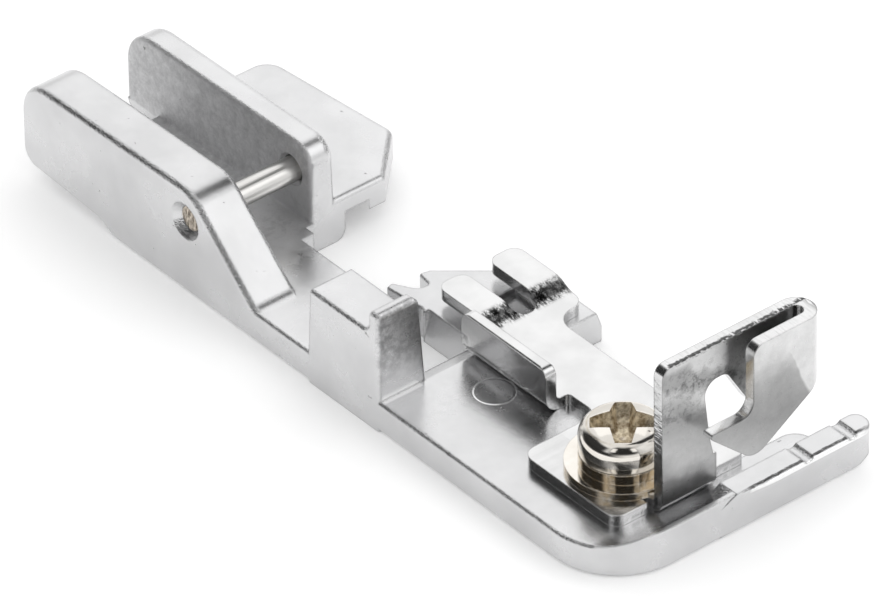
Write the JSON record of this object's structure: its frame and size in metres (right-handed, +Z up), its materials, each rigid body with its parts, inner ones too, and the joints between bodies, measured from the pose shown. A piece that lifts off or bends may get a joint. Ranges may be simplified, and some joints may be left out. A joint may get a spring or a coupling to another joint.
{
  "type": "sewing machine presser foot",
  "caption": "Clip-on presser foot with a rear clevis and cross pin, a side wing, stitch fingers, a toe bar, and a folded sheet tape guide clamped by a screw.",
  "frame": {"origin": "middle of the foot's outline, on the sole", "axes": "+Y along the foot from the toe to the heel, +Z up from the sole, +X towards the side wing"},
  "size_m": [0.0208, 0.0568, 0.0131],
  "materials": {
    "satin_chrome_casting": "satin chrome over a tumbled casting",
    "bright_chrome_sheet": "bright chrome on stamped sheet",
    "nickel_plated_steel": "bright nickel plate, slightly warm"
  },
  "bodies": {
    "foot": {"foot_body": "satin_chrome_casting", "pivot_pin": "nickel_plated_steel"},
    "guide": {"guide_plate": "bright_chrome_sheet"},
    "screw": {"clamp_screw": "nickel_plated_steel", "spring_washer": "nickel_plated_steel", "flat_washer": "nickel_plated_steel"}
  },
  "joints": [
    {"name": "guide_slide", "type": "slide", "parent": "foot", "child": "guide", "axis": [1, 0, 0], "range_m": [-0.0014, 0.0014]},
    {"name": "screw_turn", "type": "hinge", "parent": "foot", "child": "screw", "pos_m": [-0.00374, -0.02159, 0.0042], "axis": [0, 0, 1], "continuous": true}
  ]
}
